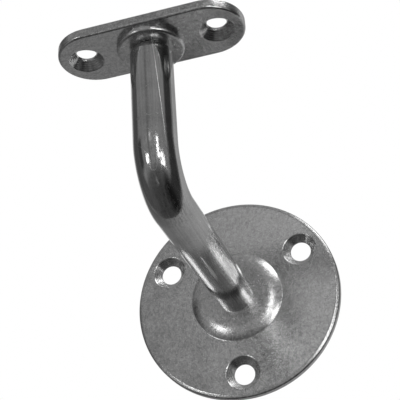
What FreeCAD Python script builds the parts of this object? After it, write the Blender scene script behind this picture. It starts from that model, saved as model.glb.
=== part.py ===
import FreeCAD, Part
import math
import os
import Sketcher
from FreeCAD import Base

# Handrail bracket: a round wall plate, a bent arm riveted through it, and an obround saddle plate
# on the arm's upright end that the rail is screwed to. Millimetres.
# X runs along the rail, +Y points into the wall, +Z is up.
# The origin is the centre of the wall plate's back face, on the arm's lower axis.

SIZES = {
    # arm: one bar, bent once, with a turned tenon and a peened head at each end
    "arm_diameter": 12.0,
    "bend_radius": 13.5,              # at the bar's centre line
    "arm_reach": 80.5,                # wall face to the upright's axis
    "saddle_height": 45.0,            # arm's lower axis to the saddle's underside
    "arm_top_round": 1.6,             # rounded shoulder under the saddle
    "lower_tenon_diameter": 8.0,
    "upper_tenon_diameter": 7.0,
    "tenon_clearance": 0.05,          # radial, in each plate's bore
    "lower_head_diameter": 13.0,
    "upper_head_diameter": 10.4,
    "lower_crown_diameter": 9.0,      # flat crown of the peened head
    "upper_crown_diameter": 7.6,
    "lower_head_sink": 0.5,           # head's crown below the wall plate's back face
    "upper_head_sink": 0.4,           # head's crown below the saddle's top face
    # wall plate: a pressed disc with a raised, sloping boss in the middle, hollow behind
    "plate_diameter": 67.0,
    "plate_thickness": 2.5,
    "plate_edge_break": 0.7,
    "boss_diameter": 30.0,            # at its root
    "boss_height": 2.2,
    "boss_slope": 40.0,               # of its flank, in degrees
    "boss_shoulder_radius": 2.7,      # between flank and flat top
    "wall_hole_diameter": 6.6,
    "wall_sink_diameter": 11.0,
    "wall_hole_circle": 51.0,
    "wall_hole_count": 3,
    # saddle plate: a pressed strip with round ends and a low boss towards the arm
    "saddle_length": 54.0,
    "saddle_width": 21.0,
    "saddle_thickness": 3.0,
    "saddle_under_break": 0.6,
    "saddle_top_break": 0.4,
    "saddle_boss_diameter": 19.0,
    "saddle_boss_height": 2.0,
    "saddle_boss_break": 0.8,
    "saddle_recess_break": 0.5,
    "rail_hole_diameter": 5.6,
    "rail_sink_diameter": 10.0,
    "rail_hole_spacing": 38.5,
    # both plates
    "sink_angle": 90.0,
}

doc = FreeCAD.newDocument("handrail_bracket")


def make_sheet():
    sheet = doc.addObject("Spreadsheet::Sheet", "sizes")
    for row, (name, value) in enumerate(SIZES.items(), start=1):
        sheet.set(f"A{row}", name)
        sheet.set(f"B{row}", str(value))
        sheet.setAlias(f"B{row}", name)
    doc.recompute()
    return sheet


def size(name):
    return f"sizes.{name}"


def half(name):
    return f"sizes.{name} / 2"


def make_body(label):
    body = doc.addObject("PartDesign::Body", label)
    body.Label = label
    return body


def origin_part(body, role):
    return next(part for part in body.Origin.OriginFeatures if part.Role == role)


def make_sketch(body, name, plane, offset=None):
    """A sketch on one of the body's own origin planes, moved along its normal by an expression."""
    sketch = body.newObject("Sketcher::SketchObject", name)
    sketch.AttachmentSupport = [(origin_part(body, plane), "")]
    sketch.MapMode = "FlatFace"
    if offset:
        sketch.setExpression("AttachmentOffset.Base.z", offset)
    doc.recompute()
    return sketch


def value_of(sketch, expression):
    result = sketch.evalExpression(expression)
    return float(getattr(result, "Value", result))


def bind(sketch, constraint, expression):
    index = sketch.addConstraint(constraint)
    sketch.setExpression(f"Constraints[{index}]", expression)


def place_point(sketch, geometry, position, x, y):
    """Fixes a point of the sketch at the expressions x and y."""
    for kind, expression in (("DistanceX", x), ("DistanceY", y)):
        bind(sketch, Sketcher.Constraint(kind, -1, 1, geometry, position, value_of(sketch, expression)),
             expression)


def draw_outline(sketch, corners, closed=True):
    """Draws lines and arcs through the corners, each given as a pair of expressions.

    A corner may carry a third entry, the centre and the turn (1 anticlockwise, -1 clockwise) of the
    arc that leads on from it; without one, a straight line leads on.
    """
    count = len(corners)
    ends = []
    for index in range(count if closed else count - 1):
        here, there = corners[index], corners[(index + 1) % count]
        start = Base.Vector(*(value_of(sketch, e) for e in here[:2]), 0)
        stop = Base.Vector(*(value_of(sketch, e) for e in there[:2]), 0)
        if len(here) == 2:
            geometry = sketch.addGeometry(Part.LineSegment(start, stop), False)
            ends.append(((geometry, 1), (geometry, 2)))
            continue
        centre_x, centre_y, turn = here[2]
        centre = Base.Vector(value_of(sketch, centre_x), value_of(sketch, centre_y), 0)
        first, last = (start, stop) if turn > 0 else (stop, start)
        angles = [math.atan2(point.y - centre.y, point.x - centre.x) for point in (first, last)]
        circle = Part.Circle(centre, Base.Vector(0, 0, 1), (start - centre).Length)
        geometry = sketch.addGeometry(Part.ArcOfCircle(circle, *angles), False)
        ends.append(((geometry, 1), (geometry, 2)) if turn > 0 else ((geometry, 2), (geometry, 1)))
        chord = stop - start
        upright = abs(chord.y) >= abs(chord.x)
        kind, expression = ("DistanceX", centre_x) if upright else ("DistanceY", centre_y)
        bind(sketch, Sketcher.Constraint(kind, -1, 1, geometry, 3, value_of(sketch, expression)),
             expression)
    for index, (x, y, *_) in enumerate(corners):
        if index < len(ends):
            place_point(sketch, *ends[index][0], x, y)
        if closed or 0 < index < len(ends):
            sketch.addConstraint(Sketcher.Constraint("Coincident", *ends[index - 1][1], *ends[index][0]))
    if not closed:
        place_point(sketch, *ends[-1][1], *corners[-1][:2])
    doc.recompute()


def draw_circle(sketch, x, y, diameter):
    circle = Part.Circle(Base.Vector(value_of(sketch, x), value_of(sketch, y), 0), Base.Vector(0, 0, 1),
                         value_of(sketch, diameter) / 2)
    geometry = sketch.addGeometry(circle, False)
    place_point(sketch, geometry, 3, x, y)
    bind(sketch, Sketcher.Constraint("Diameter", geometry, value_of(sketch, diameter)), diameter)
    doc.recompute()


def revolve(body, name, sketch, kind="PartDesign::Revolution"):
    """Turns a sketch a full circle about its own vertical axis."""
    before = body.Shape.Volume if body.Tip else 0.0
    feature = body.newObject(kind, name)
    feature.Profile = sketch
    feature.ReferenceAxis = (sketch, ["V_Axis"])
    feature.Angle = 360.0
    body.Tip = feature
    doc.recompute()
    changed = body.Shape.Volume - before
    if (changed <= 0) == (kind == "PartDesign::Revolution"):
        raise RuntimeError(f"{name} changed nothing")
    return feature


def break_edges(body, name, chosen, width):
    """Chamfers every edge of the body that the test picks."""
    base = body.Tip
    names = [f"Edge{i}" for i, edge in enumerate(base.Shape.Edges, start=1) if chosen(edge)]
    if not names:
        raise RuntimeError(f"{name} finds no edge")
    chamfer = body.newObject("PartDesign::Chamfer", name)
    chamfer.Base = (base, names)
    chamfer.setExpression("Size", width)
    body.Tip = chamfer
    doc.recompute()


def sink_hole(body, name, sketch, diameter, sink_diameter, reverse=False):
    """A screw hole through the plate, countersunk on the sketch's side."""
    before = body.Shape.Volume
    hole = body.newObject("PartDesign::Hole", name)
    hole.Profile = sketch
    doc.recompute()
    hole.Threaded = False
    hole.DepthType = "ThroughAll"
    hole.HoleCutType = "Countersink"
    hole.HoleCutCustomValues = True
    hole.setExpression("Diameter", diameter)
    hole.setExpression("HoleCutDiameter", sink_diameter)
    hole.setExpression("HoleCutCountersinkAngle", size("sink_angle"))
    hole.Reversed = reverse
    body.Tip = hole
    doc.recompute()
    if body.Shape.Volume >= before:
        raise RuntimeError(f"{name} cuts nothing")
    return hole


# expressions that two pieces share
plate_face = f"-{size('plate_thickness')}"
boss_top = f"-({size('plate_thickness')} + {size('boss_height')})"
recess_floor = f"-{size('boss_height')}"
saddle_seat = f"({size('saddle_height')} - {size('saddle_boss_height')})"
saddle_recess = f"({size('saddle_thickness')} - {size('saddle_boss_height')})"


def bore_radius(tenon):
    return f"({half(tenon)} + {size('tenon_clearance')})"


def make_wall_plate():
    body = make_body("wall_plate")

    rim = half("plate_diameter")
    flat_edge = f"({rim} - {size('plate_edge_break')})"
    face_edge = f"({plate_face} + {size('plate_edge_break')})"
    # boss: flat top, shoulder arc, then a straight flank down to its root
    boss_foot = half("boss_diameter")
    slope = size("boss_slope")
    shoulder = size("boss_shoulder_radius")
    shoulder_foot = f"({boss_top} + {shoulder} * (1 - cos({slope})))"
    flank_top = f"({boss_foot} - ({plate_face} - {shoulder_foot}) / tan({slope}))"
    boss_flat = f"({flank_top} - {shoulder} * sin({slope}))"
    bore = bore_radius("lower_tenon_diameter")
    # hollow behind: the same slope, one sheet thickness in from the boss
    recess_mouth = f"({boss_foot} - {size('plate_thickness')} * tan({slope} / 2))"
    recess_wall = f"({recess_mouth} - {size('boss_height')} / tan({slope}))"

    section = make_sketch(body, "wall_plate_section", "XY_Plane")
    draw_outline(section, [
        (rim, "0"),
        (rim, face_edge),
        (flat_edge, plate_face),
        (boss_foot, plate_face),
        (flank_top, shoulder_foot, (boss_flat, f"({boss_top} + {shoulder})", -1)),
        (boss_flat, boss_top),
        (bore, boss_top),
        (bore, recess_floor),
        (recess_wall, recess_floor),
        (recess_mouth, "0"),
    ])
    revolve(body, "pressed_disc", section)

    hole_sketch = make_sketch(body, "wall_hole_place", "XZ_Plane", size("plate_thickness"))
    draw_circle(hole_sketch, "0", f"-{half('wall_hole_circle')}", size("wall_hole_diameter"))
    hole = sink_hole(body, "wall_hole", hole_sketch, size("wall_hole_diameter"), size("wall_sink_diameter"))

    ring = body.newObject("PartDesign::PolarPattern", "wall_hole_ring")
    ring.Originals = [hole]
    ring.Axis = (origin_part(body, "Y_Axis"), [""])
    ring.Angle = 360.0
    ring.setExpression("Occurrences", size("wall_hole_count"))
    body.Tip = ring
    doc.recompute()
    return body


def make_saddle_plate(sheet):
    # drawn with its underside's centre at the origin, then set on top of the arm
    body = make_body("saddle_plate")
    end_centre = f"({half('saddle_length')} - {half('saddle_width')})"
    half_width = half("saddle_width")

    outline = make_sketch(body, "saddle_outline", "XY_Plane")
    draw_outline(outline, [
        (f"-{end_centre}", f"-{half_width}"),
        (end_centre, f"-{half_width}", (end_centre, "0", 1)),
        (end_centre, half_width),
        (f"-{end_centre}", half_width, (f"-{end_centre}", "0", 1)),
    ])
    strip = body.newObject("PartDesign::Pad", "saddle_strip")
    strip.Profile = outline
    strip.setExpression("Length", size("saddle_thickness"))
    body.Tip = strip
    doc.recompute()
    break_edges(body, "saddle_under_edge",
                lambda edge: edge.BoundBox.ZMax < 1e-4, size("saddle_under_break"))
    break_edges(body, "saddle_top_edge",
                lambda edge: edge.BoundBox.ZMin > sheet.saddle_thickness - 1e-4, size("saddle_top_break"))

    boss_rim = half("saddle_boss_diameter")
    boss_flat = f"({boss_rim} - {size('saddle_boss_break')})"
    boss_under = f"-{size('saddle_boss_height')}"
    flank_end = f"({boss_under} + {size('saddle_boss_break')})"
    boss = make_sketch(body, "saddle_boss_section", "XZ_Plane")
    draw_outline(boss, [
        ("0", boss_under),
        (boss_flat, boss_under),
        (boss_rim, flank_end),
        (boss_rim, saddle_recess),
        ("0", saddle_recess),
    ])
    revolve(body, "saddle_boss", boss)

    recess_wall = f"({boss_rim} - {size('saddle_thickness')})"
    corner = size("saddle_recess_break")
    recess = make_sketch(body, "saddle_recess_section", "XZ_Plane")
    draw_outline(recess, [
        ("0", boss_under),
        (bore_radius("upper_tenon_diameter"), boss_under),
        (bore_radius("upper_tenon_diameter"), saddle_recess),
        (f"({recess_wall} - {corner})", saddle_recess),
        (recess_wall, f"({saddle_recess} + {corner})"),
        (recess_wall, f"({size('saddle_thickness')} - {corner})"),
        (f"({recess_wall} + {corner})", size("saddle_thickness")),
        ("0", size("saddle_thickness")),
    ])
    revolve(body, "saddle_recess", recess, "PartDesign::Groove")

    hole_sketch = make_sketch(body, "rail_hole_place", "XY_Plane")
    draw_circle(hole_sketch, half("rail_hole_spacing"), "0", size("rail_hole_diameter"))
    hole = sink_hole(body, "rail_hole", hole_sketch, size("rail_hole_diameter"),
                     size("rail_sink_diameter"), reverse=True)
    pair = body.newObject("PartDesign::Mirrored", "rail_hole_pair")
    pair.Originals = [hole]
    pair.MirrorPlane = (origin_part(body, "YZ_Plane"), [""])
    body.Tip = pair
    doc.recompute()

    body.setExpression("Placement.Base.y", f"-{size('arm_reach')}")
    body.setExpression("Placement.Base.z", size("saddle_height"))
    doc.recompute()
    return body


def peened_head(tenon, head, crown, seat, top):
    """Corners of a tenon's head: out along its seat, in up its flank, and over its flat crown."""
    return [(tenon, seat), (head, seat), (crown, top), ("0", top)]


def make_arm():
    body = make_body("arm")
    bar = half("arm_diameter")
    reach = f"-{size('arm_reach')}"
    bend = size("bend_radius")
    bend_start = f"({reach} + {bend})"
    top_round = size("arm_top_round")
    round_start = f"({saddle_seat} - {top_round})"

    circle = make_sketch(body, "arm_circle", "XZ_Plane", f"-{boss_top}")
    draw_circle(circle, "0", "0", size("arm_diameter"))
    path = make_sketch(body, "arm_path", "YZ_Plane")
    draw_outline(path, [
        (boss_top, "0"),
        (bend_start, "0", (bend_start, bend, -1)),
        (reach, bend),
        (reach, round_start),
    ], closed=False)
    pipe = body.newObject("PartDesign::AdditivePipe", "bent_bar")
    pipe.Profile = circle
    pipe.Spine = (path, [f"Edge{i + 1}" for i in range(3)])
    body.Tip = pipe
    doc.recompute()

    # foot: the tenon through the wall plate's boss and its head in the hollow behind
    tenon = half("lower_tenon_diameter")
    foot = make_sketch(body, "foot_section", "XY_Plane")
    draw_outline(foot, [("0", boss_top), (tenon, boss_top)] + peened_head(
        tenon, half("lower_head_diameter"), half("lower_crown_diameter"),
        recess_floor, f"-{size('lower_head_sink')}"))
    revolve(body, "foot_tenon", foot)

    # top: the rounded shoulder, the tenon through the saddle and its head in the saddle's recess
    tenon = half("upper_tenon_diameter")
    top = make_sketch(body, "top_section", "XZ_Plane", size("arm_reach"))
    draw_outline(top, [
        ("0", round_start),
        (bar, round_start, (f"({bar} - {top_round})", round_start, 1)),
        (f"({bar} - {top_round})", saddle_seat),
        (tenon, saddle_seat),
    ] + peened_head(
        tenon, half("upper_head_diameter"), half("upper_crown_diameter"),
        f"({size('saddle_height')} + {saddle_recess})",
        f"({size('saddle_height')} + {size('saddle_thickness')} - {size('upper_head_sink')})"))
    revolve(body, "top_tenon", top)
    return body


def check_and_write(bodies):
    """Stops on any failed object or bad shape, then writes one STEP file for each piece."""
    doc.recompute()
    failed = [item.Name for item in doc.Objects if {"Invalid", "Error"} & set(item.State)]
    if failed:
        raise RuntimeError(f"failed objects: {failed}")
    for body in bodies:
        shape = body.Shape
        if shape.isNull() or not shape.isValid() or len(shape.Solids) != 1:
            raise RuntimeError(f"{body.Label} isn't one valid solid")
    os.makedirs("parts", exist_ok=True)
    for body in bodies:
        body.Shape.exportStep(f"parts/{body.Label}.step")
        box = body.Shape.BoundBox
        print(f"{body.Label}: {body.Shape.Volume:.0f} mm3, X {box.XMin:.2f}..{box.XMax:.2f}, "
              f"Y {box.YMin:.2f}..{box.YMax:.2f}, Z {box.ZMin:.2f}..{box.ZMax:.2f}")


sizes = make_sheet()
check_and_write([make_wall_plate(), make_arm(), make_saddle_plate(sizes)])
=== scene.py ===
import bpy
import math
from mathutils import Matrix, Vector


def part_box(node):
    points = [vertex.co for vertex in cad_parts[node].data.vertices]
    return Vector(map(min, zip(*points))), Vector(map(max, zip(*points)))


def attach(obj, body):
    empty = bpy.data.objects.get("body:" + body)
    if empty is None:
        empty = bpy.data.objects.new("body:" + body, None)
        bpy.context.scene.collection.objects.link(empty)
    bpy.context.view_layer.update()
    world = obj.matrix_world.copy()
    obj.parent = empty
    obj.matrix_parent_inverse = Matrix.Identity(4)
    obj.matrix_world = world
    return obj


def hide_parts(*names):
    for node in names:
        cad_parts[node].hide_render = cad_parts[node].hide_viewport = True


# Handrail bracket: pressed wall plate, bent bright bar, obround saddle plate.
# X along the rail, +Y into the wall, +Z up, metres. Origin: centre of the wall plate's back face.

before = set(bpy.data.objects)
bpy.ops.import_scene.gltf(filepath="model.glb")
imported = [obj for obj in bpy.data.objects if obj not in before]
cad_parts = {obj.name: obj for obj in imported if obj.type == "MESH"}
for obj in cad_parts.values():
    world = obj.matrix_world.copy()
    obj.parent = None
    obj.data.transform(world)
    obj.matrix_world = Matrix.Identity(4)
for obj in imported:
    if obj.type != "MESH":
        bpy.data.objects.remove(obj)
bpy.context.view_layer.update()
mm = 0.001
plateLow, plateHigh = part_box("wall_plate")
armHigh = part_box("arm")[1]
saddleLow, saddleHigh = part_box("saddle_plate")
reach = -(saddleLow[1] + saddleHigh[1]) / 2    # wall face to the upright's axis
saddleHollow = 2 * mm                          # depth of the hollow for the arm's upper head
print("frame loaded:", sorted(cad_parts))


def deselectAll():
    if bpy.context.object and bpy.context.object.mode != "OBJECT":
        bpy.ops.object.mode_set(mode="OBJECT")
    for item in bpy.context.selected_objects:
        item.select_set(False)


def takeUp(piece):
    deselectAll()
    piece.select_set(True)
    bpy.context.view_layer.objects.active = piece


def settle(piece):
    # the place goes into the mesh, and the object back to the origin
    takeUp(piece)
    bpy.ops.object.transform_apply(location=True, rotation=True, scale=True)


def objectMode():
    bpy.ops.object.mode_set(mode="OBJECT")


def pickFaces(piece, wanted):
    # leaves edit mode on, with just the wanted faces selected; returns how many there are
    bpy.ops.object.mode_set(mode="EDIT")
    bpy.ops.mesh.select_mode(type="FACE")
    bpy.ops.mesh.select_all(action="DESELECT")
    objectMode()
    count = 0
    for face in piece.data.polygons:
        face.select = wanted(face)
        count += face.select
    bpy.ops.object.mode_set(mode="EDIT")
    return count


def pickEdges(piece, wanted):
    # wanted gets an edge's two end points
    bpy.ops.object.mode_set(mode="EDIT")
    bpy.ops.mesh.select_mode(type="EDGE")
    bpy.ops.mesh.select_all(action="DESELECT")
    objectMode()
    points = piece.data.vertices
    count = 0
    for edge in piece.data.edges:
        edge.select = wanted(*(points[i].co for i in edge.vertices))
        count += edge.select
    bpy.ops.object.mode_set(mode="EDIT")
    return count


def near(value, target, slack=0.02 * mm):
    return abs(value - target) < slack


def bevelPicked(width, segments):
    bpy.ops.mesh.bevel(offset=width, offset_type="OFFSET", segments=segments, profile=0.5,
                       affect="EDGES", clamp_overlap=False)


def extrudeTo(offset):
    bpy.ops.mesh.extrude_region_move(TRANSFORM_OT_translate={"value": offset})


def scaleRing(factor, centre, axis):
    # draws what is picked in or out about an axis
    factors = tuple(1 if i == axis else factor for i in range(3))
    bpy.ops.transform.resize(value=factors, center_override=centre)


def applyModifier(piece, modifier):
    takeUp(piece)
    bpy.ops.object.modifier_apply(modifier=modifier.name)


def cut(piece, tool, operation="DIFFERENCE"):
    modifier = piece.modifiers.new("cut", "BOOLEAN")
    modifier.operation = operation
    modifier.solver = "EXACT"
    modifier.object = tool
    applyModifier(piece, modifier)
    bpy.data.objects.remove(tool)


def smoothOff(piece, angle=30):
    # clean shading: welded, outward, smooth across rounds and flat on the flats
    takeUp(piece)
    bpy.ops.object.mode_set(mode="EDIT")
    bpy.ops.mesh.select_all(action="SELECT")
    bpy.ops.mesh.remove_doubles(threshold=0.002 * mm)
    bpy.ops.mesh.normals_make_consistent(inside=False)
    objectMode()
    bpy.ops.object.shade_smooth_by_angle(angle=math.radians(angle))
    weighted = piece.modifiers.new("even normals", "WEIGHTED_NORMAL")
    weighted.keep_sharp = True
    applyModifier(piece, weighted)


def turnedPiece(name, profile, steps):
    # a turned shape: the profile is a list of (radius, height), drawn ring by ring by extruding
    (radius, height), rest = profile[0], profile[1:]
    deselectAll()
    bpy.ops.mesh.primitive_circle_add(vertices=steps, radius=radius, fill_type="NGON",
                                      location=(0, 0, height))
    piece = bpy.context.active_object
    piece.name = name
    settle(piece)
    bpy.ops.object.mode_set(mode="EDIT")
    bpy.ops.mesh.select_all(action="SELECT")
    for nextRadius, nextHeight in rest:
        extrudeTo((0, 0, nextHeight - height))
        scaleRing(nextRadius / radius, (0, 0, nextHeight), 2)
        radius, height = nextRadius, nextHeight
    bpy.ops.mesh.select_all(action="SELECT")
    bpy.ops.mesh.normals_make_consistent(inside=False)
    objectMode()
    return piece


def arcPoints(centreRadius, centreHeight, radius, start, end, count):
    # start and end in degrees
    angles = [math.radians(start + (end - start) * i / count) for i in range(count + 1)]
    return [(centreRadius + radius * math.cos(angle), centreHeight + radius * math.sin(angle))
            for angle in angles]


def sinkCutter(name, v):
    # cutter of a countersunk screw hole, mouth at height 0 and shank towards -Z, with a worn lip
    bore, mouth, lip, edge = v["bore"] / 2, v["mouth"] / 2, v["lip"], v["boreEdge"]
    # the lip is an arc that leaves the cone at 45 degrees and meets the face at a slight lift
    lift, beyond, clear = 8, 0.6 * mm, 1.5 * mm
    lipCentre = (mouth + lip * math.tan(math.radians(22.5)), -lip)
    lipArc = arcPoints(*lipCentre, lip, 135, 90 + lift, 6)
    overRadius, overHeight = lipArc[-1]
    above = (overRadius + beyond * math.cos(math.radians(lift)),
             overHeight + beyond * math.sin(math.radians(lift)))
    coneDepth, inner = mouth - bore, 0.3 * edge
    profile = [
        (bore, -v["depth"]),
        (bore, -coneDepth - edge),
        (bore + inner, -coneDepth - inner),
        (bore + edge, -coneDepth + edge),
    ] + lipArc + [above, (above[0], above[1] + clear)]
    return turnedPiece(name, profile, 96)


wallPlate = {
    "rim": plateHigh[0],
    "thickness": 2.5 * mm,
    "rollWidth": 1.15 * mm,            # gentle fall of the face towards the rim
    "rollDepth": 0.4 * mm,
    "rollRound": 0.25 * mm,            # where the fall leaves the flat face
    "frontRound": 0.5 * mm,
    "backRound": 0.2 * mm,
    "bossFoot": 15 * mm,               # radius at its root
    "bossTop": plateLow[1],
    "bossSlope": 35,                   # of its flank, in degrees
    "bossShoulder": 10 * mm,           # radius of the arc between its flank and its top
    "bossRoot": 0.25 * mm,
    "bossCrown": 0.65 * mm,            # the top falls this much from the arm outwards
    "bossSeat": 6.3 * mm,              # radius of the level part that the arm stands on
    "hollowRound": 0.5 * mm,
    "tenonBore": 4.05 * mm,            # radius
    "holeCircle": 25.5 * mm,           # radius
    "holeCount": 3,
    "hole": {"bore": 6.6 * mm, "mouth": 11 * mm, "lip": 0.7 * mm, "boreEdge": 0.1 * mm,
             "depth": 4 * mm},
    "steps": 192,
}


def makeWallPlate(v):
    rim, foot, bore = v["rim"], v["bossFoot"], v["tenonBore"]
    front, top = -v["thickness"], v["bossTop"]
    height, slope = front - top, math.radians(v["bossSlope"])
    shoulder = top + v["bossCrown"]
    crown = foot - (front - shoulder) / math.tan(slope)
    topSlope = math.atan(v["bossCrown"] / (crown - v["bossSeat"]))
    # the hollow behind follows the boss, one sheet thickness in
    mouth = foot - v["thickness"] * math.tan(slope / 2)
    floor = mouth - height / math.tan(slope)
    rimFace, rollInner = front + v["rollDepth"], rim - v["rollWidth"]
    deselectAll()
    bpy.ops.mesh.primitive_cylinder_add(vertices=v["steps"], radius=rim, depth=-rimFace,
                                        location=(0, rimFace / 2, 0), rotation=(math.pi / 2, 0, 0))
    piece = bpy.context.active_object
    piece.name = "wallPlateBody"
    settle(piece)
    # boss pushed out of the front, hollow pressed in from behind, bore through the middle
    pickFaces(piece, lambda face: face.normal.y < -0.9)
    extrudeTo((0, front - rimFace, 0))
    scaleRing(rollInner / rim, (0, front, 0), 1)
    bpy.ops.mesh.inset(thickness=rollInner - foot)
    extrudeTo((0, shoulder - front, 0))
    scaleRing(crown / foot, (0, shoulder, 0), 1)
    bpy.ops.mesh.inset(thickness=crown - v["bossSeat"])
    bpy.ops.transform.translate(value=(0, -v["bossCrown"], 0))
    bpy.ops.mesh.inset(thickness=v["bossSeat"] - bore)
    bpy.ops.mesh.delete(type="FACE")
    pickFaces(piece, lambda face: face.normal.y > 0.9)
    bpy.ops.mesh.inset(thickness=rim - mouth)
    extrudeTo((0, -height, 0))
    scaleRing(floor / mouth, (0, -height, 0), 1)
    bpy.ops.mesh.inset(thickness=floor - bore)
    bpy.ops.mesh.delete(type="FACE")
    objectMode()

    def ring(radius, depth):
        def onRing(point):
            return near(math.hypot(point.x, point.z), radius, 0.05 * mm) and near(point.y, depth)
        return lambda a, b: onRing(a) and onRing(b)

    pickEdges(piece, lambda a, b: ring(bore, top)(a, b) or ring(bore, -height)(a, b))
    bpy.ops.mesh.bridge_edge_loops()
    for radius, depth, width, segments in (
        (crown, shoulder, v["bossShoulder"] * math.tan((slope - topSlope) / 2), 28),
        (foot, front, v["bossRoot"], 3),
        (rollInner, front, v["rollRound"], 5),
        (rim, rimFace, v["frontRound"], 6),
        (rim, 0, v["backRound"], 3),
        (mouth, 0, v["hollowRound"], 5),
        (floor, -height, v["hollowRound"], 5),
    ):
        count = pickEdges(piece, ring(radius, depth))
        if count != v["steps"]:
            place = f"{radius / mm:.2f}, {depth / mm:.2f}"
            raise RuntimeError(f"the wall plate's ring at {place} has {count} edges")
        bevelPicked(width, segments)
        objectMode()
    for index in range(v["holeCount"]):
        angle = 2 * math.pi * index / v["holeCount"]
        cutter = sinkCutter("wallHoleCutter", v["hole"])
        # mouth turned to the front, then set round the hole circle from the bottom hole on
        cutter.data.transform(Matrix.Rotation(math.pi / 2, 4, "X"))
        cutter.data.transform(Matrix.Translation((0, front, -v["holeCircle"])))
        cutter.data.transform(Matrix.Rotation(angle, 4, "Y"))
        cut(piece, cutter)
    smoothOff(piece)
    return piece


plateBody = makeWallPlate(wallPlate)
print("wall plate modelled:", len(plateBody.data.polygons), "faces")


arm = {
    "radius": 6 * mm,
    "bend": 13.5 * mm,
    "reach": reach,
    "foot": plateLow[1],               # boss top, where the bar starts
    "shoulderTop": saddleLow[2],       # underside of the saddle's boss
    "shoulderRound": 1.6 * mm,
    "shoulderSteps": 10,
    "lowerTenon": 4 * mm,              # tenons and heads are radii
    "lowerSeat": plateLow[1] + wallPlate["thickness"],
    "lowerHead": 6.5 * mm,
    "lowerHeadTop": armHigh[1],
    "upperTenon": 3.5 * mm,
    "upperSeat": saddleHigh[2] - saddleHollow,
    "upperHead": 5.2 * mm,
    "upperHeadTop": armHigh[2],
    "domeSteps": 8,
    "steps": 96,
    "bendSteps": 40,
}


def widen(fromRadius, toRadius, centre, axis):
    # extrudes the picked end face in place and draws it in or out about the axis
    bpy.ops.mesh.extrude_region_move()
    scaleRing(toRadius / fromRadius, centre, axis)


def peenedHead(tenon, head, length, centre, axis, domeSteps):
    # tenon end spread into a low dome: seat, short flank and an elliptical crown
    crownAngle, crownCore, flank = math.radians(84), 0.35, 0.25 * length
    widen(tenon, head, centre, axis)
    step = [0, 0, 0]
    step[axis] = flank
    extrudeTo(step)
    radius, height = head, flank
    for i in range(1, domeSteps + 1):
        angle = crownAngle * i / domeSteps
        nextRadius = head * (crownCore + (1 - crownCore) * math.cos(angle))
        nextHeight = flank + (length - flank) * math.sin(angle) / math.sin(crownAngle)
        step[axis] = nextHeight - height
        extrudeTo(step)
        scaleRing(nextRadius / radius, centre, axis)
        radius, height = nextRadius, nextHeight


def straightened(point, v):
    # a point of the bent bar, as it was on the straight bar: two places across, one along
    bendStart, bend = -(v["reach"] - v["bend"]), v["bend"]
    if point.y > bendStart:
        return point.x, point.z, -point.y
    if point.z < bend:
        past, under = bendStart - point.y, bend - point.z
        return point.x, bend - math.hypot(past, under), bend * math.atan2(past, under) - bendStart
    return point.x, point.y + v["reach"], bend * math.pi / 2 - bendStart + point.z - bend


def makeArm(v):
    bar, reach, bend = v["radius"], v["reach"], v["bend"]
    shoulder, steps = v["shoulderRound"], v["shoulderSteps"]
    deselectAll()
    bpy.ops.mesh.primitive_circle_add(vertices=v["steps"], radius=bar, fill_type="NGON",
                                      location=(0, v["foot"], 0), rotation=(math.pi / 2, 0, 0))
    piece = bpy.context.active_object
    piece.name = "armBar"
    settle(piece)
    bpy.ops.object.mode_set(mode="EDIT")
    bpy.ops.mesh.select_all(action="SELECT")
    extrudeTo((0, bend - reach - v["foot"], 0))
    bpy.ops.mesh.spin(steps=v["bendSteps"], angle=math.pi / 2, center=(0, bend - reach, bend),
                      axis=(1, 0, 0))
    extrudeTo((0, 0, v["shoulderTop"] - shoulder - bend))
    # rounded shoulder under the saddle
    radius, height = bar, v["shoulderTop"] - shoulder
    for i in range(1, steps + 1):
        angle = math.pi / 2 * i / steps
        nextRadius = bar - shoulder * (1 - math.cos(angle))
        nextHeight = v["shoulderTop"] - shoulder * (1 - math.sin(angle))
        extrudeTo((0, 0, nextHeight - height))
        scaleRing(nextRadius / radius, (0, -reach, nextHeight), 2)
        radius, height = nextRadius, nextHeight
    # upper tenon and its head
    widen(radius, v["upperTenon"], (0, -reach, height), 2)
    extrudeTo((0, 0, v["upperSeat"] - height))
    peenedHead(v["upperTenon"], v["upperHead"], v["upperHeadTop"] - v["upperSeat"],
               (0, -reach, v["upperSeat"]), 2, v["domeSteps"])
    objectMode()

    def firstFace(face):
        return near(face.center.y, v["foot"]) and len(face.vertices) == v["steps"]

    # lower tenon and head, from the bar's first face
    count = pickFaces(piece, firstFace)
    if count != 1:
        raise RuntimeError(f"the bar has {count} first faces")
    widen(bar, v["lowerTenon"], (0, v["foot"], 0), 1)
    extrudeTo((0, v["lowerSeat"] - v["foot"], 0))
    peenedHead(v["lowerTenon"], v["lowerHead"], v["lowerHeadTop"] - v["lowerSeat"],
               (0, v["lowerSeat"], 0), 1, v["domeSteps"])
    smoothOff(piece)
    # drawing marks and scratches follow the bar round its bend
    marks = piece.data.attributes.new("straightBar", "FLOAT_VECTOR", "POINT")
    for index, vertex in enumerate(piece.data.vertices):
        marks.data[index].vector = straightened(vertex.co, v)
    return piece


armBar = makeArm(arm)
print("arm modelled:", len(armBar.data.polygons), "faces")


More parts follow.
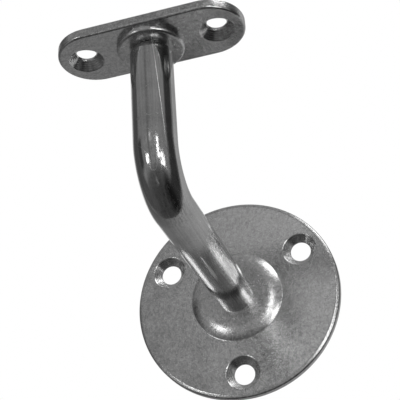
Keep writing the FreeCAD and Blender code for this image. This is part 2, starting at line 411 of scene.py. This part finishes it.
saddle = {
    "length": saddleHigh[0] - saddleLow[0],
    "width": saddleHigh[1] - saddleLow[1],
    "reach": reach,
    "thickness": 3 * mm,
    "top": saddleHigh[2],
    "bossUnder": saddleLow[2],
    "underRound": 0.7 * mm,
    "topRound": 0.5 * mm,
    "bossRadius": 9.5 * mm,
    "bossRound": 1.0 * mm,
    "hollowRadius": 6.5 * mm,
    "hollowDepth": saddleHollow,
    "hollowRound": 0.5 * mm,
    "hollowLead": (0.6 * mm, 0.084 * mm),   # slight rise of the cutter past the hollow's edge
    "tenonBore": 3.55 * mm,            # radius
    "holeSpacing": 38.5 * mm,
    "hole": {"bore": 5.6 * mm, "mouth": 10 * mm, "lip": 0.6 * mm, "boreEdge": 0.1 * mm,
             "depth": 5 * mm},
    "endSteps": 40,
}


def makeSaddle(v):
    low, high = v["top"] - v["thickness"], v["top"]
    deselectAll()
    bpy.ops.mesh.primitive_cube_add(size=1, location=(0, 0, (low + high) / 2),
                                    scale=(v["length"], v["width"], v["thickness"]))
    piece = bpy.context.active_object
    piece.name = "saddlePlateBody"
    settle(piece)
    # the four upright edges are rounded until each end is all but a half circle, then welded
    pickEdges(piece, lambda a, b: near(a.x, b.x) and near(a.y, b.y))
    bevelPicked(v["width"] / 2 - 0.001 * mm, v["endSteps"])
    bpy.ops.mesh.select_all(action="SELECT")
    bpy.ops.mesh.remove_doubles(threshold=0.004 * mm)
    objectMode()
    for level, width, segments in ((low, v["underRound"], 6), (high, v["topRound"], 5)):
        pickEdges(piece, lambda a, b: near(a.z, level) and near(b.z, level))
        bevelPicked(width, segments)
        objectMode()
    # low boss towards the arm, with a rounded rim
    radius, under = v["bossRadius"], v["bossUnder"]
    rim = arcPoints(radius - v["bossRound"], under + v["bossRound"], v["bossRound"], -90, 0, 10)
    boss = turnedPiece("saddleBoss", rim + [(radius, low + v["thickness"] / 3)], 160)
    cut(piece, boss, "UNION")
    # recess for the arm's head in the top, and the tenon's bore through the boss
    wall, corner = v["hollowRadius"], v["hollowRound"]
    bore, floor = v["tenonBore"], high - v["hollowDepth"]
    profile = [(bore, under - mm), (bore, floor)]
    profile += arcPoints(wall - corner, floor + corner, corner, -90, 0, 5)
    profile += arcPoints(wall + corner, high - corner, corner, 180, 98, 5)
    lead, rise = v["hollowLead"]
    profile.append((profile[-1][0] + lead, profile[-1][1] + rise))
    profile.append((profile[-1][0], high + mm))
    cut(piece, turnedPiece("saddleHollowCutter", profile, 128))
    for side in (-1, 1):
        cutter = sinkCutter("railHoleCutter", v["hole"])
        cutter.data.transform(Matrix.Rotation(math.pi, 4, "X"))
        cutter.data.transform(Matrix.Translation((side * v["holeSpacing"] / 2, 0, low)))
        cut(piece, cutter)
    piece.data.transform(Matrix.Translation((0, -v["reach"], 0)))
    smoothOff(piece)
    return piece


saddleBody = makeSaddle(saddle)
print("saddle modelled:", len(saddleBody.data.polygons), "faces")


def node(tree, kind, **settings):
    made = tree.nodes.new(kind)
    for key, value in settings.items():
        setattr(made, key, value)
    return made


def feed(tree, made, values):
    # sockets are linked, numbers and tuples are written in
    for index, value in enumerate(values):
        if isinstance(value, bpy.types.NodeSocket):
            tree.links.new(value, made.inputs[index])
        elif value is not None:
            made.inputs[index].default_value = value
    return made


def calc(tree, operation, *values):
    return feed(tree, node(tree, "ShaderNodeMath", operation=operation), values).outputs[0]


def vectorCalc(tree, operation, *values):
    made = feed(tree, node(tree, "ShaderNodeVectorMath", operation=operation), values)
    return made.outputs["Value" if operation in ("DISTANCE", "LENGTH", "DOT_PRODUCT") else "Vector"]


def fade(tree, value, start, end, low=0.0, high=1.0):
    # smooth step from low at start to high at end
    return feed(tree, node(tree, "ShaderNodeMapRange", interpolation_type="SMOOTHSTEP"),
                (value, start, end, low, high)).outputs[0]


def grain(tree, place, size, detail=2.0, stretch=(1, 1, 1)):
    # noise with features of about that size, in metres, around zero
    scaled = vectorCalc(tree, "MULTIPLY", place, tuple(part / size for part in stretch))
    made = node(tree, "ShaderNodeTexNoise")
    tree.links.new(scaled, made.inputs["Vector"])
    made.inputs["Scale"].default_value = 1
    made.inputs["Detail"].default_value = detail
    return calc(tree, "SUBTRACT", made.outputs[0], 0.5)


def total(tree, marks, weights):
    # the named marks added up, each by its weight
    result = 0.0
    for name, weight in weights.items():
        result = calc(tree, "MULTIPLY_ADD", marks[name], weight, result)
    return result


def hairlines(tree, place, v):
    # thin wandering scratches: where a soft noise crosses its middle, in some patches only
    size, width, share = v["size"], v["width"], v["share"]
    line = calc(tree, "ABSOLUTE", grain(tree, place, size, 1.0))
    patch = fade(tree, grain(tree, place, 2.2 * size, 0.0), 0.5 - share, 0.53 - share)
    return calc(tree, "MULTIPLY", fade(tree, line, width / size, 0.3 * width / size), patch)


def newMetal(name):
    material = bpy.data.materials.new(name)
    material.use_nodes = True
    material.node_tree.nodes["Principled BSDF"].inputs["Metallic"].default_value = 1
    return material


def finishMetal(tree, marks, v):
    # marks act on roughness, on tone as a share of the colour, and on height in micrometres
    shader = tree.nodes["Principled BSDF"]
    rough = calc(tree, "ADD", total(tree, marks, v["rough"]), v["roughness"])
    tree.links.new(rough, shader.inputs["Roughness"])
    tone = calc(tree, "MULTIPLY_ADD", total(tree, marks, v["tone"]), v["colour"], v["colour"])
    tree.links.new(tone, shader.inputs["Base Color"])
    bump = node(tree, "ShaderNodeBump")
    bump.inputs["Distance"].default_value = 1e-6
    tree.links.new(total(tree, marks, v["height"]), bump.inputs["Height"])
    tree.links.new(bump.outputs[0], shader.inputs["Normal"])


platedSheet = {
    "colour": 0.68,
    "roughness": 0.23,
    "grainSize": 0.42 * mm,
    "mottleSize": 1.1 * mm,
    "cloudSize": 6 * mm,
    "scratch": {"size": 9 * mm, "width": 0.04 * mm, "share": 0.35},
    "toolPitch": 0.42 * mm,
    "sinkEdge": 0.3 * mm,
    "bossEdge": 1.2 * mm,
    "rough": {"mottle": 0.10, "cloud": 0.07, "scratch": 0.1, "sink": -0.05, "boss": 0.02},
    "tone": {"cloud": 0.4, "mottle": 0.7, "grain": 0.8},
    "height": {"grain": 22, "mottle": 18, "rings": 9, "scratch": -8},
}


def platedSteel(name, v, axis, holes, sink, bossCentre, bossRadius):
    # satin plated sheet, finely mottled; turning marks in the countersinks
    material = newMetal(name)
    tree = material.node_tree
    place = node(tree, "ShaderNodeTexCoord").outputs["Object"]
    across = vectorCalc(tree, "MULTIPLY", place, tuple(0.0 if i == axis else 1.0 for i in range(3)))
    marks = {
        "grain": grain(tree, place, v["grainSize"], 1.0),
        "mottle": grain(tree, place, v["mottleSize"]),
        "cloud": grain(tree, place, v["cloudSize"]),
        "scratch": hairlines(tree, place, v["scratch"]),
    }
    # distance to the nearest screw hole gives the rings that the countersink left
    nearest = None
    for centre in holes:
        distance = vectorCalc(tree, "DISTANCE", across, centre)
        nearest = distance if nearest is None else calc(tree, "MINIMUM", nearest, distance)
    marks["sink"] = fade(tree, nearest, sink, sink - v["sinkEdge"])
    rings = calc(tree, "SINE", calc(tree, "MULTIPLY", nearest, 2 * math.pi / v["toolPitch"]))
    marks["rings"] = calc(tree, "MULTIPLY", rings, marks["sink"])
    fromBoss = vectorCalc(tree, "DISTANCE", across, bossCentre)
    marks["boss"] = fade(tree, fromBoss, bossRadius, bossRadius - v["bossEdge"])
    finishMetal(tree, marks, v)
    return material


brightBar = {
    "colour": 0.6,
    "roughness": 0.085,
    "lineSize": 0.5 * mm,
    "lineStretch": (1, 1, 0.03),       # across, out and along the bar
    "speckSize": 0.34 * mm,
    "cloudSize": 7 * mm,
    "scratch": {"size": 8 * mm, "width": 0.06 * mm, "share": 0.42},
    # rubbed, pitted patch on the outside of the bend, its colour darkened in part as painted shade
    # of the dark reflection there: angle, place along and half sizes
    "scuffAndPaintedShade": {"turn": 25, "along": 79 * mm, "halfTurn": 55, "halfLength": 16 * mm, "core": 0.3,
              "pitSize": 0.5 * mm, "pitStretch": (1, 1, 0.5), "pitEdge": 0.12},
    # one long drag scratch, its colour lightened in part as a painted highlight line: angle round
    # the bar in degrees at two places along it
    "dragAndPaintedGlint": {"from": (87 * mm, 44), "to": (111 * mm, 26), "start": 84 * mm, "width": 0.16 * mm},
    "rough": {"cloud": 0.15, "lines": 0.1, "specks": 0.15, "scratch": 0.25, "dragAndPaintedGlint": 0.3,
              "scuffAndPaintedShade": 0.26},
    # tone: the drag scratch's lightening is a painted highlight line, and the rubbed patch's
    # darkening is partly painted shade
    "tone": {"cloud": 0.5, "lines": 0.5, "specks": 0.5, "dragAndPaintedGlint": 0.4, "scuffAndPaintedShade": -0.4},
    "height": {"lines": 12, "specks": 11, "scratch": -2, "dragAndPaintedGlint": -2, "scuffAndPaintedShade": -5},
}


def dragScratchAndPaintedGlint(tree, turn, along, v):
    # a thin line that winds a little round the bar: a drag scratch, lightened as a painted
    # highlight line
    (alongA, turnA), (alongB, turnB) = v["from"], v["to"]
    slope = math.radians(turnB - turnA) / (alongB - alongA)
    wanted = calc(tree, "MULTIPLY_ADD", along, slope, math.radians(turnA) - slope * alongA)
    offset = calc(tree, "ABSOLUTE", calc(tree, "SUBTRACT", turn, wanted))
    offset = calc(tree, "MULTIPLY", offset, arm["radius"])
    return calc(tree, "MULTIPLY", fade(tree, offset, v["width"], 0.0),
                fade(tree, along, v["start"], alongA))


def rubbedPitsAndPaintedShade(tree, place, turn, along, v):
    # fine pits, densest in the middle of the patch; where they darken the colour, that is partly
    # painted shade of the dark reflection on the bend
    sideways = calc(tree, "ABSOLUTE", calc(tree, "SUBTRACT", turn, math.radians(v["turn"])))
    lengthways = calc(tree, "ABSOLUTE", calc(tree, "SUBTRACT", along, v["along"]))
    rubbedAndShadedArea = calc(tree, "MULTIPLY", fade(tree, sideways, math.radians(v["halfTurn"]), 0.0),
                  fade(tree, lengthways, v["halfLength"], v["core"] * v["halfLength"]))
    pits = fade(tree, grain(tree, place, v["pitSize"], 2.0, v["pitStretch"]), 0.0, v["pitEdge"])
    return calc(tree, "MULTIPLY", rubbedAndShadedArea, pits)


def barSteelFinish(name, v):
    # bright drawn bar: faint lines along it, specks, hairlines, a drag mark that carries a painted
    # highlight line, and a rubbed patch that carries painted shade
    material = newMetal(name)
    tree = material.node_tree
    place = node(tree, "ShaderNodeAttribute", attribute_name="straightBar").outputs["Vector"]
    split = node(tree, "ShaderNodeSeparateXYZ")
    tree.links.new(place, split.inputs[0])
    across, out, along = split.outputs
    turn = calc(tree, "ARCTAN2", across, calc(tree, "MULTIPLY", out, -1.0))
    marks = {
        "lines": grain(tree, place, v["lineSize"], 2.0, v["lineStretch"]),
        "specks": grain(tree, place, v["speckSize"]),
        "cloud": grain(tree, place, v["cloudSize"]),
        "scratch": hairlines(tree, place, v["scratch"]),
        "dragAndPaintedGlint": dragScratchAndPaintedGlint(tree, turn, along, v["dragAndPaintedGlint"]),
        "scuffAndPaintedShade": rubbedPitsAndPaintedShade(tree, place, turn, along, v["scuffAndPaintedShade"]),
    }
    finishMetal(tree, marks, v)
    return material


def ringPlaces(radius, count):
    # centres round the Y axis, from the bottom one on
    angles = [2 * math.pi * i / count for i in range(count)]
    return [(-radius * math.sin(angle), 0, -radius * math.cos(angle)) for angle in angles]


wallHoles = ringPlaces(wallPlate["holeCircle"], wallPlate["holeCount"])
railHoles = [(side * saddle["holeSpacing"] / 2, -reach, 0) for side in (-1, 1)]
wallSteel = platedSteel("platedWallPlate", platedSheet, 1, wallHoles,
                        wallPlate["hole"]["mouth"] / 2, (0, 0, 0), wallPlate["bossFoot"])
saddleSteel = platedSteel("platedSaddle", platedSheet, 2, railHoles,
                          saddle["hole"]["mouth"] / 2, (0, -reach, 0), saddle["bossRadius"])
barSteel = barSteelFinish("brightBarSteel", brightBar)

for piece, material, slotName, nodeName in (
    (plateBody, wallSteel, "plate_steel", "wall_plate"),
    (armBar, barSteel, "bar_steel", "arm"),
    (saddleBody, saddleSteel, "plate_steel", "saddle_plate"),
):
    piece.data.materials.clear()
    piece.data.materials.append(material)
    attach(piece, "root")
    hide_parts(nodeName)
print("materials set")


camera = {
    "place": (69.063 * mm, -296.128 * mm, -128.779 * mm),
    "forward": (-0.22787, 0.84691, 0.48044),
    "up": (0.19129, -0.44487, 0.87493),
    "lens": 91.161,
    "sensor": 36,
}


def makeCamera(v):
    data = bpy.data.cameras.new("viewCamera")
    data.lens, data.sensor_width, data.sensor_fit = v["lens"], v["sensor"], "HORIZONTAL"
    data.clip_start, data.clip_end = 0.01, 20
    view = bpy.data.objects.new("viewCamera", data)
    forward = Vector(v["forward"]).normalized()
    right = forward.cross(Vector(v["up"])).normalized()
    up = right.cross(forward)
    turn = Matrix((right, up, -forward)).transposed().to_4x4()
    view.matrix_world = Matrix.Translation(v["place"]) @ turn
    bpy.context.scene.collection.objects.link(view)
    bpy.context.scene.camera = view


def heading(azimuth, elevation):
    # azimuth 0 looks along +Y into the wall, 90 along +X
    a, e = math.radians(azimuth), math.radians(elevation)
    return Vector((math.sin(a) * math.cos(e), math.cos(a) * math.cos(e), math.sin(e)))


# a few lamps round the bracket, and the floor
studio = {
    "centre": (0, -0.06, 0.01),
    "distance": 0.8,
    # azimuth, elevation, width and height in degrees, radiance
    "softboxes": {
        "rightBox": (137, -11, 16, 18, 3.2),
        "rightStrip": (155, 5, 5, 32, 4.2),
        "leftBox": (-148, -9, 12, 12, 3.2),
        "topBox": (123, 54, 24, 22, 2.9),
    },
    "floor": {"height": -0.5, "radius": 1.4, "clearFrom": 0.45, "colour": 0.8, "roughness": 0.9,
              "glow": 0.5},
}


def makeSoftboxes(v):
    centre = Vector(v["centre"])
    for name, (azimuth, elevation, width, height, radiance) in v["softboxes"].items():
        data = bpy.data.lights.new(name, "AREA")
        data.shape = "RECTANGLE"
        data.size = 2 * v["distance"] * math.tan(math.radians(width / 2))
        data.size_y = 2 * v["distance"] * math.tan(math.radians(height / 2))
        data.energy = radiance * data.size * data.size_y * math.pi
        lamp = bpy.data.objects.new(name, data)
        lamp.location = centre + heading(azimuth, elevation) * v["distance"]
        lamp.rotation_euler = (lamp.location - centre).to_track_quat("Z", "Y").to_euler()
        lamp.visible_camera = False
        bpy.context.scene.collection.objects.link(lamp)


# the room that the metal reflects, as levels by direction
room = {
    "levels": [(-90, 0.06), (-60, 0.06), (-32, 0.12), (-18, 0.26), (34, 0.24), (90, 0.30)],
    # azimuth, elevation, half width, half height and soft edge in degrees, level
    "zones": {
        "leftSide": (-82, 0, 20, 60, 6, 0.09),
        "darkSide": (84, -12, 21, 55, 6, 0.045),
        "upperRight": (158, 38, 17, 12, 8, 0.27),
        "overhead": (-166, 20, 12, 8, 5, 0.44),
        "overheadCore": (-168, 26, 5, 2, 4, 1.3),
        "behindCamera": (-162, 25, 5, 40, 4, 0.17),
        "darkLow": (90, -50, 45, 16, 14, 0.012),
        "lowPatch": (-172, -50, 8, 6, 3, 0.22),
        "leftLow": (-112, 8, 12, 18, 6, 0.06),
    },
    # the pale sheet behind the object, and the brightest part of it
    "sheetReach": 60,
    "sheetEdge": 0.03,
    "sheetLevels": (0.30, 0.20, 0.05),      # middle, and more to the right and upwards
    "brightPatch": (-25, 27, 24, 12, 5, 0.75),
}


def makeWorld(v):
    world = bpy.data.worlds.new("studioRoom")
    world.use_nodes = True
    bpy.context.scene.world = world
    tree = world.node_tree
    tree.nodes.clear()
    direction = node(tree, "ShaderNodeTexCoord").outputs["Generated"]
    split = node(tree, "ShaderNodeSeparateXYZ")
    tree.links.new(direction, split.inputs[0])
    right, inward, upward = split.outputs
    azimuth = calc(tree, "ARCTAN2", right, inward)
    elevation = calc(tree, "ARCSINE", upward)

    def zone(values):
        middle, height, halfWidth, halfHeight, soft = (math.radians(value) for value in values[:5])
        away = calc(tree, "SUBTRACT", azimuth, middle)
        away = calc(tree, "ABSOLUTE", calc(tree, "WRAP", away, math.pi, -math.pi))
        over = calc(tree, "ABSOLUTE", calc(tree, "SUBTRACT", elevation, height))
        return calc(tree, "MULTIPLY", fade(tree, away, halfWidth + soft, halfWidth - soft),
                    fade(tree, over, halfHeight + soft, halfHeight - soft))

    def mixed(under, over, share):
        return feed(tree, node(tree, "ShaderNodeMix"), (share, None, under, over)).outputs[0]

    level = None
    for (lowAngle, low), (highAngle, high) in zip(v["levels"], v["levels"][1:]):
        span = (math.radians(lowAngle), math.radians(highAngle), 0.0, high - low)
        part = feed(tree, node(tree, "ShaderNodeMapRange"), (elevation,) + span).outputs[0]
        level = calc(tree, "ADD", part, low if level is None else level)
    for values in v["zones"].values():
        level = mixed(level, values[5], zone(values))
    middle, rightwards, upwards = v["sheetLevels"]
    sheet = calc(tree, "MULTIPLY_ADD", upward, upwards, middle)
    sheet = calc(tree, "MULTIPLY_ADD", right, rightwards, sheet)
    sheet = mixed(sheet, v["brightPatch"][5], zone(v["brightPatch"]))
    edge, soft = math.cos(math.radians(v["sheetReach"])), v["sheetEdge"]
    onSheet = fade(tree, inward, edge - soft, edge + soft)
    level = mixed(level, 0.0, onSheet)

    lit = node(tree, "ShaderNodeBackground")
    tree.links.new(level, lit.inputs["Color"])
    white = node(tree, "ShaderNodeBackground")
    white.inputs["Color"].default_value = (1, 1, 1, 1)
    # the camera sees white all round; mirrored rays see the sheet at its level, where it is
    rays = node(tree, "ShaderNodeLightPath").outputs
    mirrored = calc(tree, "MAXIMUM", rays["Is Glossy Ray"], rays["Is Transmission Ray"])
    shown = calc(tree, "MULTIPLY", calc(tree, "MULTIPLY", mirrored, onSheet), sheet)
    shown = calc(tree, "MAXIMUM", shown, rays["Is Camera Ray"])
    mix = node(tree, "ShaderNodeMixShader")
    feed(tree, mix, (shown, lit.outputs[0], white.outputs[0]))
    output = node(tree, "ShaderNodeOutputWorld")
    tree.links.new(mix.outputs[0], output.inputs[0])


def makeFloor(v):
    # plain pale floor well below the bracket, clear towards its edge; only the camera sees its glow
    deselectAll()
    bpy.ops.mesh.primitive_circle_add(vertices=96, radius=v["radius"], fill_type="NGON",
                                      location=(0, 0, v["height"]))
    floor = bpy.context.active_object
    floor.name = "paleFloor"
    settle(floor)
    material = bpy.data.materials.new("paleFloor")
    material.use_nodes = True
    tree = material.node_tree
    shader = tree.nodes["Principled BSDF"]
    shader.inputs["Base Color"].default_value = (v["colour"],) * 3 + (1,)
    shader.inputs["Roughness"].default_value = v["roughness"]
    shader.inputs["Emission Color"].default_value = (1, 1, 1, 1)
    seen = node(tree, "ShaderNodeLightPath").outputs["Is Camera Ray"]
    tree.links.new(calc(tree, "MULTIPLY", seen, v["glow"]), shader.inputs["Emission Strength"])
    place = node(tree, "ShaderNodeTexCoord").outputs["Object"]
    distance = vectorCalc(tree, "DISTANCE", place, (0, 0, v["height"]))
    clear = node(tree, "ShaderNodeBsdfTransparent")
    gone = fade(tree, distance, v["clearFrom"] * v["radius"], v["radius"])
    mix = node(tree, "ShaderNodeMixShader")
    feed(tree, mix, (gone, shader.outputs[0], clear.outputs[0]))
    tree.links.new(mix.outputs[0], tree.nodes["Material Output"].inputs[0])
    floor.data.materials.append(material)
    floor.visible_glossy = False


makeCamera(camera)
makeSoftboxes(studio)
makeWorld(room)
makeFloor(studio["floor"])
bpy.context.scene.view_settings.view_transform = "Standard"
print("studio ready")
